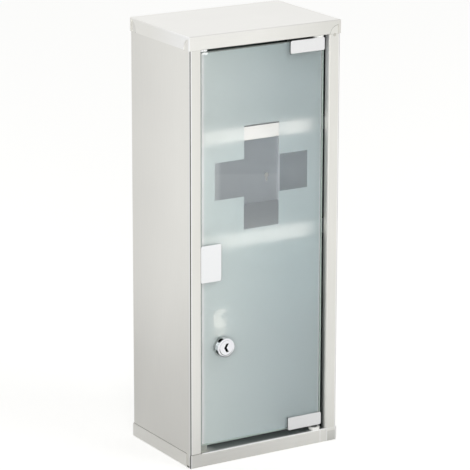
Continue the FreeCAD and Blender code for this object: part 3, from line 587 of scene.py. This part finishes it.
# the lower bumper gets the darker copy of the rubber as painted shade
lowerBumperTop = 100 * mm  # anything of the bumpers below this is the lower one, in shade
bumpers = bpy.data.objects["bumpers"].data
bumpers.materials.append(shadedSilicone)
tall = np.empty(len(bumpers.polygons) * 3, np.float32)
bumpers.polygons.foreach_get("center", tall)
bumpers.polygons.foreach_set("material_index", (tall.reshape(-1, 3)[:, 2] < lowerBumperTop).astype(np.int32))

edgeTilt = 0.95  # faces whose normals have less than this along Y are the pane's edges
pane = smoothCopy("glass_pane", "pane", "door", [glass, glassEdge], 0, copyLook["paneSharpAngle"])
tilt = np.empty(len(pane.data.polygons) * 3, np.float32)
pane.data.polygons.foreach_get("normal", tilt)
isEdge = np.abs(tilt.reshape(-1, 3)[:, 1]) < edgeTilt
pane.data.polygons.foreach_set("material_index", isEdge.astype(np.int32))

# The film lies a hair behind the glass, so that no two faces coincide. Through the glass its window
# looks a touch too far right, so the window's corners move left; the lock's hole stays.
filmLook = {"hair": 0.03 * mm, "windowAside": 70 * mm, "windowLow": 200 * mm, "windowHigh": 400 * mm}
film = smoothCopy("frosted_film", "frost", "door", [frost], 0, copyLook["paneSharpAngle"])
spots = np.empty(len(film.data.vertices) * 3, np.float32)
film.data.vertices.foreach_get("co", spots)
spots = spots.reshape(-1, 3)
spots[spots[:, 1] < spots[:, 1].mean(), 1] += filmLook["hair"]
window = np.abs(spots[:, 0]) < filmLook["windowAside"]
window &= (spots[:, 2] > filmLook["windowLow"]) & (spots[:, 2] < filmLook["windowHigh"])
spots[window, 0] += frostLook["windowShift"]
film.data.vertices.foreach_set("co", spots.ravel())
film.data.update()
print("pieces dressed")


def gridPiece(name, points, material, body, closed=False):
    # points is a rows x columns x 3 array, joined by quads; closed joins its last column to its first
    rows, columns = points.shape[:2]
    last = columns if closed else columns - 1
    row, column = np.meshgrid(np.arange(rows - 1), np.arange(last), indexing="ij")
    after = (column + 1) % columns
    quads = np.stack([row * columns + column, row * columns + after,
                      (row + 1) * columns + after, (row + 1) * columns + column], -1).reshape(-1, 4)
    mesh = bpy.data.meshes.new(name)
    mesh.from_pydata(points.reshape(-1, 3).tolist(), [], quads.tolist())
    mesh.shade_smooth()
    mesh.materials.append(material)
    piece = bpy.data.objects.new(name, mesh)
    bpy.context.scene.collection.objects.link(piece)
    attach(piece, body)
    return piece


def layRibbon(name, path, outward, width, material, body="cabinet"):
    # a flat strip beside a path in mm, for a joint that shows as a line: path +- width/2 * (direction
    # x outward)
    path = np.asarray(path, float) * mm
    ahead = np.gradient(path, axis=0)
    ahead /= np.linalg.norm(ahead, axis=1, keepdims=True)
    across = np.cross(ahead, outward) * width * mm / 2
    gridPiece(name, np.stack([path - across, path + across], 0), material, body)


def quarterArc(start, aside, upward, count):
    # from start, start + aside * (1 - cos t) + upward * sin t, for t from 0 to a quarter turn
    t = np.linspace(0, np.pi / 2, count)[:, None]
    return np.asarray(start) + np.asarray(aside) * (1 - np.cos(t)) + np.asarray(upward) * np.sin(t)


jointLook = {"lid": 483.9, "base": 16.15, "stileNear": 84.2, "stileFar": 97.2, "front": -66.24,
             "side": -98.24, "notchReach": 11.2, "notchRise": 10.1, "lidRear": 55, "lidFront": -53.6,
             "baseRear": 65, "baseFront": -57.5, "bendFront": -66.86, "bendHeight": 15.86,
             "bendFrom": -83.4, "bendTo": 97}
liningLook = {"x": 33.75, "y": -62.06, "top": 480.2, "cornerX": 35.85, "cornerZ": 467.6, "corner": 2.1,
              "lowTop": 37, "lowFoot": 24, "width": 0.7}
toFront, toSide, upAndFront = (0, -1, 0), (-1, 0, 0), (0, -math.sqrt(0.5), math.sqrt(0.5))
front, side = jointLook["front"], jointLook["side"]
near, far = jointLook["stileNear"], jointLook["stileFar"]
lidEdge, baseEdge = jointLook["lid"], jointLook["base"]
# the edge of the lid's arched notch, from its wide end up the arc
notch = quarterArc((84.5, front, 484), (jointLook["notchReach"], 0, 0), (0, 0, jointLook["notchRise"]), 24)
# each joint is a thin dark strip: partly the joint itself and partly the painted shadow of the lapping edge
layRibbon("joint_notch_front", notch, toFront, 0.9, faintGap)
layRibbon("joint_lid_left", [(-far, front, lidEdge), (-near, front, lidEdge)], toFront, 0.35, gap)
layRibbon("joint_lid_right", [(near, front, lidEdge), (far, front, lidEdge)], toFront, 0.2, faintGap)
layRibbon("joint_base_left", [(-far, front, baseEdge), (-near, front, baseEdge)], toFront, 0.5, gap)
layRibbon("joint_lid_side", [(side, jointLook["lidRear"], lidEdge), (side, jointLook["lidFront"], lidEdge)],
          toSide, 0.3, gap)
layRibbon("joint_base_side", [(side, jointLook["baseRear"], baseEdge),
                              (side, jointLook["baseFront"], baseEdge)], toSide, 0.5, gap)
# partly the lining, partly the clip's painted shadow: a thin dark line along each clip's free end, round its
# lower corner
liningX, liningY, corner = liningLook["x"], liningLook["y"], liningLook["corner"]
t = np.linspace(0, np.pi / 2, 9)[:, None]
bottomCorner = np.array([liningLook["cornerX"], liningY, liningLook["cornerZ"]])
turned = np.concatenate([[(liningX, liningY, liningLook["top"])],
                         bottomCorner - np.cos(t) * [corner, 0, 0] - np.sin(t) * [0, 0, corner]])
layRibbon("lining_upper", turned, toFront, liningLook["width"], lining, "door")
layRibbon("lining_lower", [(liningX, liningY, liningLook["lowTop"]),
                           (liningX, liningY, liningLook["lowFoot"])],
          toFront, liningLook["width"], lining, "door")
# a painted highlight along the base's top front bend
layRibbon("base_bend", [(jointLook["bendFrom"], jointLook["bendFront"], jointLook["bendHeight"]),
                        (jointLook["bendTo"], jointLook["bendFront"], jointLook["bendHeight"])],
          upAndFront, 0.6, paintedBendHighlight)

# the spot weld: a low dome whose height at r times its radius is (crown cos(1.5 pi r) + rise) (1 - r^6)
weldLook = {"radius": 2.0, "x": 90.4, "y": -66.2, "z": 483.0, "crown": 0.05, "rise": 0.07,
            "pole": 0.02, "rings": 14, "spokes": 32}
r, turn = np.meshgrid(np.linspace(weldLook["pole"], 1, weldLook["rings"]),
                      np.linspace(0, 2 * np.pi, weldLook["spokes"], endpoint=False), indexing="ij")
lift = (weldLook["crown"] * np.cos(1.5 * np.pi * r) + weldLook["rise"]) * (1 - r ** 6)
reach = weldLook["radius"] * r
dome = np.stack([weldLook["x"] - reach * np.cos(turn), weldLook["y"] - lift,
                 weldLook["z"] - reach * np.sin(turn)], -1) * mm
gridPiece("weld_mark", dome, weld, "cabinet", closed=True)

# the rounded nose of the upper bumper, which shows over the glass: width and depth go with sin t and
# height with cos t, from pole to pole
noseLook = {"x": -74.8, "y": -59.2, "z": 481.9, "halfWidth": 2.6, "halfDepth": 1.9, "halfHeight": 1.9,
            "pole": 0.02, "rings": 16, "spokes": 28}
t, turn = np.meshgrid(np.linspace(noseLook["pole"], np.pi - noseLook["pole"], noseLook["rings"]),
                      np.linspace(0, 2 * np.pi, noseLook["spokes"], endpoint=False), indexing="ij")
nose = np.stack([noseLook["x"] + noseLook["halfWidth"] * np.sin(t) * np.cos(turn),
                 noseLook["y"] + noseLook["halfDepth"] * np.sin(t) * np.sin(turn),
                 noseLook["z"] + noseLook["halfHeight"] * np.cos(t)], -1) * mm
gridPiece("bumper_nose", nose[::-1], milkySilicone, "cabinet", closed=True)
print("joints, weld and bumper nose drawn")


# shade centres and reaches are in mm, lamps in metres
studio = {"floorRadius": 9.0, "floorInner": 0.02, "floorRings": 24, "floorSpokes": 64,
          "floorColour": "#e9e9e7", "floorLift": 0.40, "mirroredLift": 0.26,
          "shadeCentre": (-100, 170, 0), "behindKeyholes": (620, 950, 0),
          "nearShade": fade("far", 200, 550, 0.82, 1.0), "wideShade": fade("far", 0, 1500, 0.92, 1.0),
          "keyholeShade": fade("behind", 150, 300, 0.36, 1.0),
          "skyOnObject": 0.66, "ceiling": fade("height", 0.35, 0.85, 1.0, 0.76), "lampTarget": (0, 0, 0.25),
          "keyPower": 20.0, "keyPlace": (1.5, -2.2, 2.6), "keySize": (1.8, 1.8),
          "fillPower": 28.0, "fillPlace": (-1.5, -2.4, 0.75), "fillSize": (1.2, 1.2)}


def seenRays(tree):
    # 1 for rays from the camera, from a mirror-like surface or through glass
    path = addNode(tree, "ShaderNodeLightPath", {}).outputs
    return greatest(tree, [path["Is Camera Ray"], path["Is Glossy Ray"], path["Is Transmission Ray"]])


def layFloor(look):
    # a round sheet: points at radius r(u) = radius * u^2 and angle 2 pi v, finer near the middle
    rings, spokes = look["floorRings"], look["floorSpokes"]
    u, v = np.meshgrid(np.linspace(look["floorInner"], 1, rings), np.arange(spokes) / spokes, indexing="ij")
    reach = look["floorRadius"] * u ** 2
    points = np.stack([reach * np.cos(2 * np.pi * v), reach * np.sin(2 * np.pi * v), 0 * u], -1)
    ring, spoke = np.meshgrid(np.arange(rings - 1), np.arange(spokes), indexing="ij")
    after = (spoke + 1) % spokes
    quads = np.stack([ring * spokes + spoke, (ring + 1) * spokes + spoke,
                      (ring + 1) * spokes + after, ring * spokes + after], -1).reshape(-1, 4)
    mesh = bpy.data.meshes.new("floor")
    mesh.from_pydata(points.reshape(-1, 3).tolist(), [], quads.tolist() + [list(range(spokes))])
    floor = bpy.data.objects.new("floor", mesh)
    bpy.context.scene.collection.objects.link(floor)
    material, tree, _, axes = newMaterial("painted studio floor")
    # shaded near the cabinet, and on the patch seen through the keyholes and the glass, as the wall
    # behind would be
    for axis, centre in (("far", look["shadeCentre"]), ("behind", look["behindKeyholes"])):
        axes[axis] = addNode(tree, "ShaderNodeVectorMath", {"operation": "DISTANCE", 0: axes["place"],
                                                            1: centre}).outputs["Value"]
    shade = productOf(tree, axes, [look["nearShade"], look["wideShade"], look["keyholeShade"]])
    # only what metal and glass reflect is shaded: the camera sees an even floor
    seen = addNode(tree, "ShaderNodeLightPath", {}).outputs["Is Camera Ray"]
    even = addNode(tree, "ShaderNodeMix", {"data_type": "FLOAT", 0: seen, 2: shade, 3: 1.0}).outputs[0]
    paint = shaded(tree, linear(look["floorColour"]), even)
    diffuse = addNode(tree, "ShaderNodeBsdfDiffuse", {"Color": paint})
    axes["even"] = even
    axes["glow"] = addNode(tree, "ShaderNodeMix", {"data_type": "FLOAT", 0: seen, 2: look["mirroredLift"],
                                                   3: look["floorLift"]}).outputs[0]
    lift = addNode(tree, "ShaderNodeEmission", {"Color": (1, 1, 1, 1),
                                                "Strength": productOf(tree, axes, ["even", "glow"])})
    lifted = addNode(tree, "ShaderNodeAddShader", {0: diffuse.outputs[0], 1: lift.outputs[0]})
    mixed = addNode(tree, "ShaderNodeMixShader", {0: seenRays(tree), 1: diffuse.outputs[0],
                                                  2: lifted.outputs[0]})
    addNode(tree, "ShaderNodeOutputMaterial", {"Surface": mixed.outputs[0]})
    mesh.materials.append(material)


def makeSky(look):
    world = bpy.data.worlds.new("white studio")
    bpy.context.scene.world = world
    world.use_nodes = True
    tree = world.node_tree
    tree.nodes.clear()
    # metal sees a slightly darker ceiling
    place = addNode(tree, "ShaderNodeTexCoord", {})
    height = addNode(tree, "ShaderNodeSeparateXYZ", {0: place.outputs["Generated"]}).outputs[2]
    ceiling = shareOf(tree, {"height": height}, look["ceiling"])
    strength = addNode(tree, "ShaderNodeMix", {"data_type": "FLOAT", 0: seenRays(tree),
                                               2: look["skyOnObject"], 3: ceiling})
    light = addNode(tree, "ShaderNodeBackground", {"Color": (1, 1, 1, 1), "Strength": strength.outputs[0]})
    addNode(tree, "ShaderNodeOutputWorld", {"Surface": light.outputs[0]})


def addLamp(name, place, target, size, power):
    data = bpy.data.lights.new(name, "AREA")
    data.shape = "RECTANGLE"
    data.size, data.size_y = size
    data.energy = power
    lamp = bpy.data.objects.new(name, data)
    lamp.location = place
    lamp.visible_glossy = False  # the metal mirrors the room, not the lamps
    lamp.rotation_euler = (Vector(target) - Vector(place)).to_track_quat("-Z", "Y").to_euler()
    bpy.context.scene.collection.objects.link(lamp)


# a long lens from about 3.3 m, turned a hair about its own axis
cameraLook = {"sensor": 36.0, "lens": 217.15, "reach": 50, "place": (-1.62996, -2.68115, 1.12484),
              "ahead": (0.50027, 0.82282, -0.26962), "roll": 0.1211}


def setCamera(look):
    data = bpy.data.cameras.new("camera")
    data.sensor_width = look["sensor"]
    data.lens = look["lens"]
    data.clip_end = look["reach"]
    camera = bpy.data.objects.new("camera", data)
    bpy.context.scene.collection.objects.link(camera)
    camera.location = look["place"]
    camera.rotation_mode = "QUATERNION"
    roll = Matrix.Rotation(math.radians(look["roll"]), 3, "Z").to_quaternion()
    camera.rotation_quaternion = Vector(look["ahead"]).to_track_quat("-Z", "Y") @ roll
    bpy.context.scene.camera = camera


layFloor(studio)
makeSky(studio)
addLamp("key softbox", studio["keyPlace"], studio["lampTarget"], studio["keySize"], studio["keyPower"])
addLamp("fill softbox", studio["fillPlace"], studio["lampTarget"], studio["fillSize"], studio["fillPower"])
setCamera(cameraLook)
bpy.context.scene.view_settings.view_transform = "Standard"
print("stage ready")
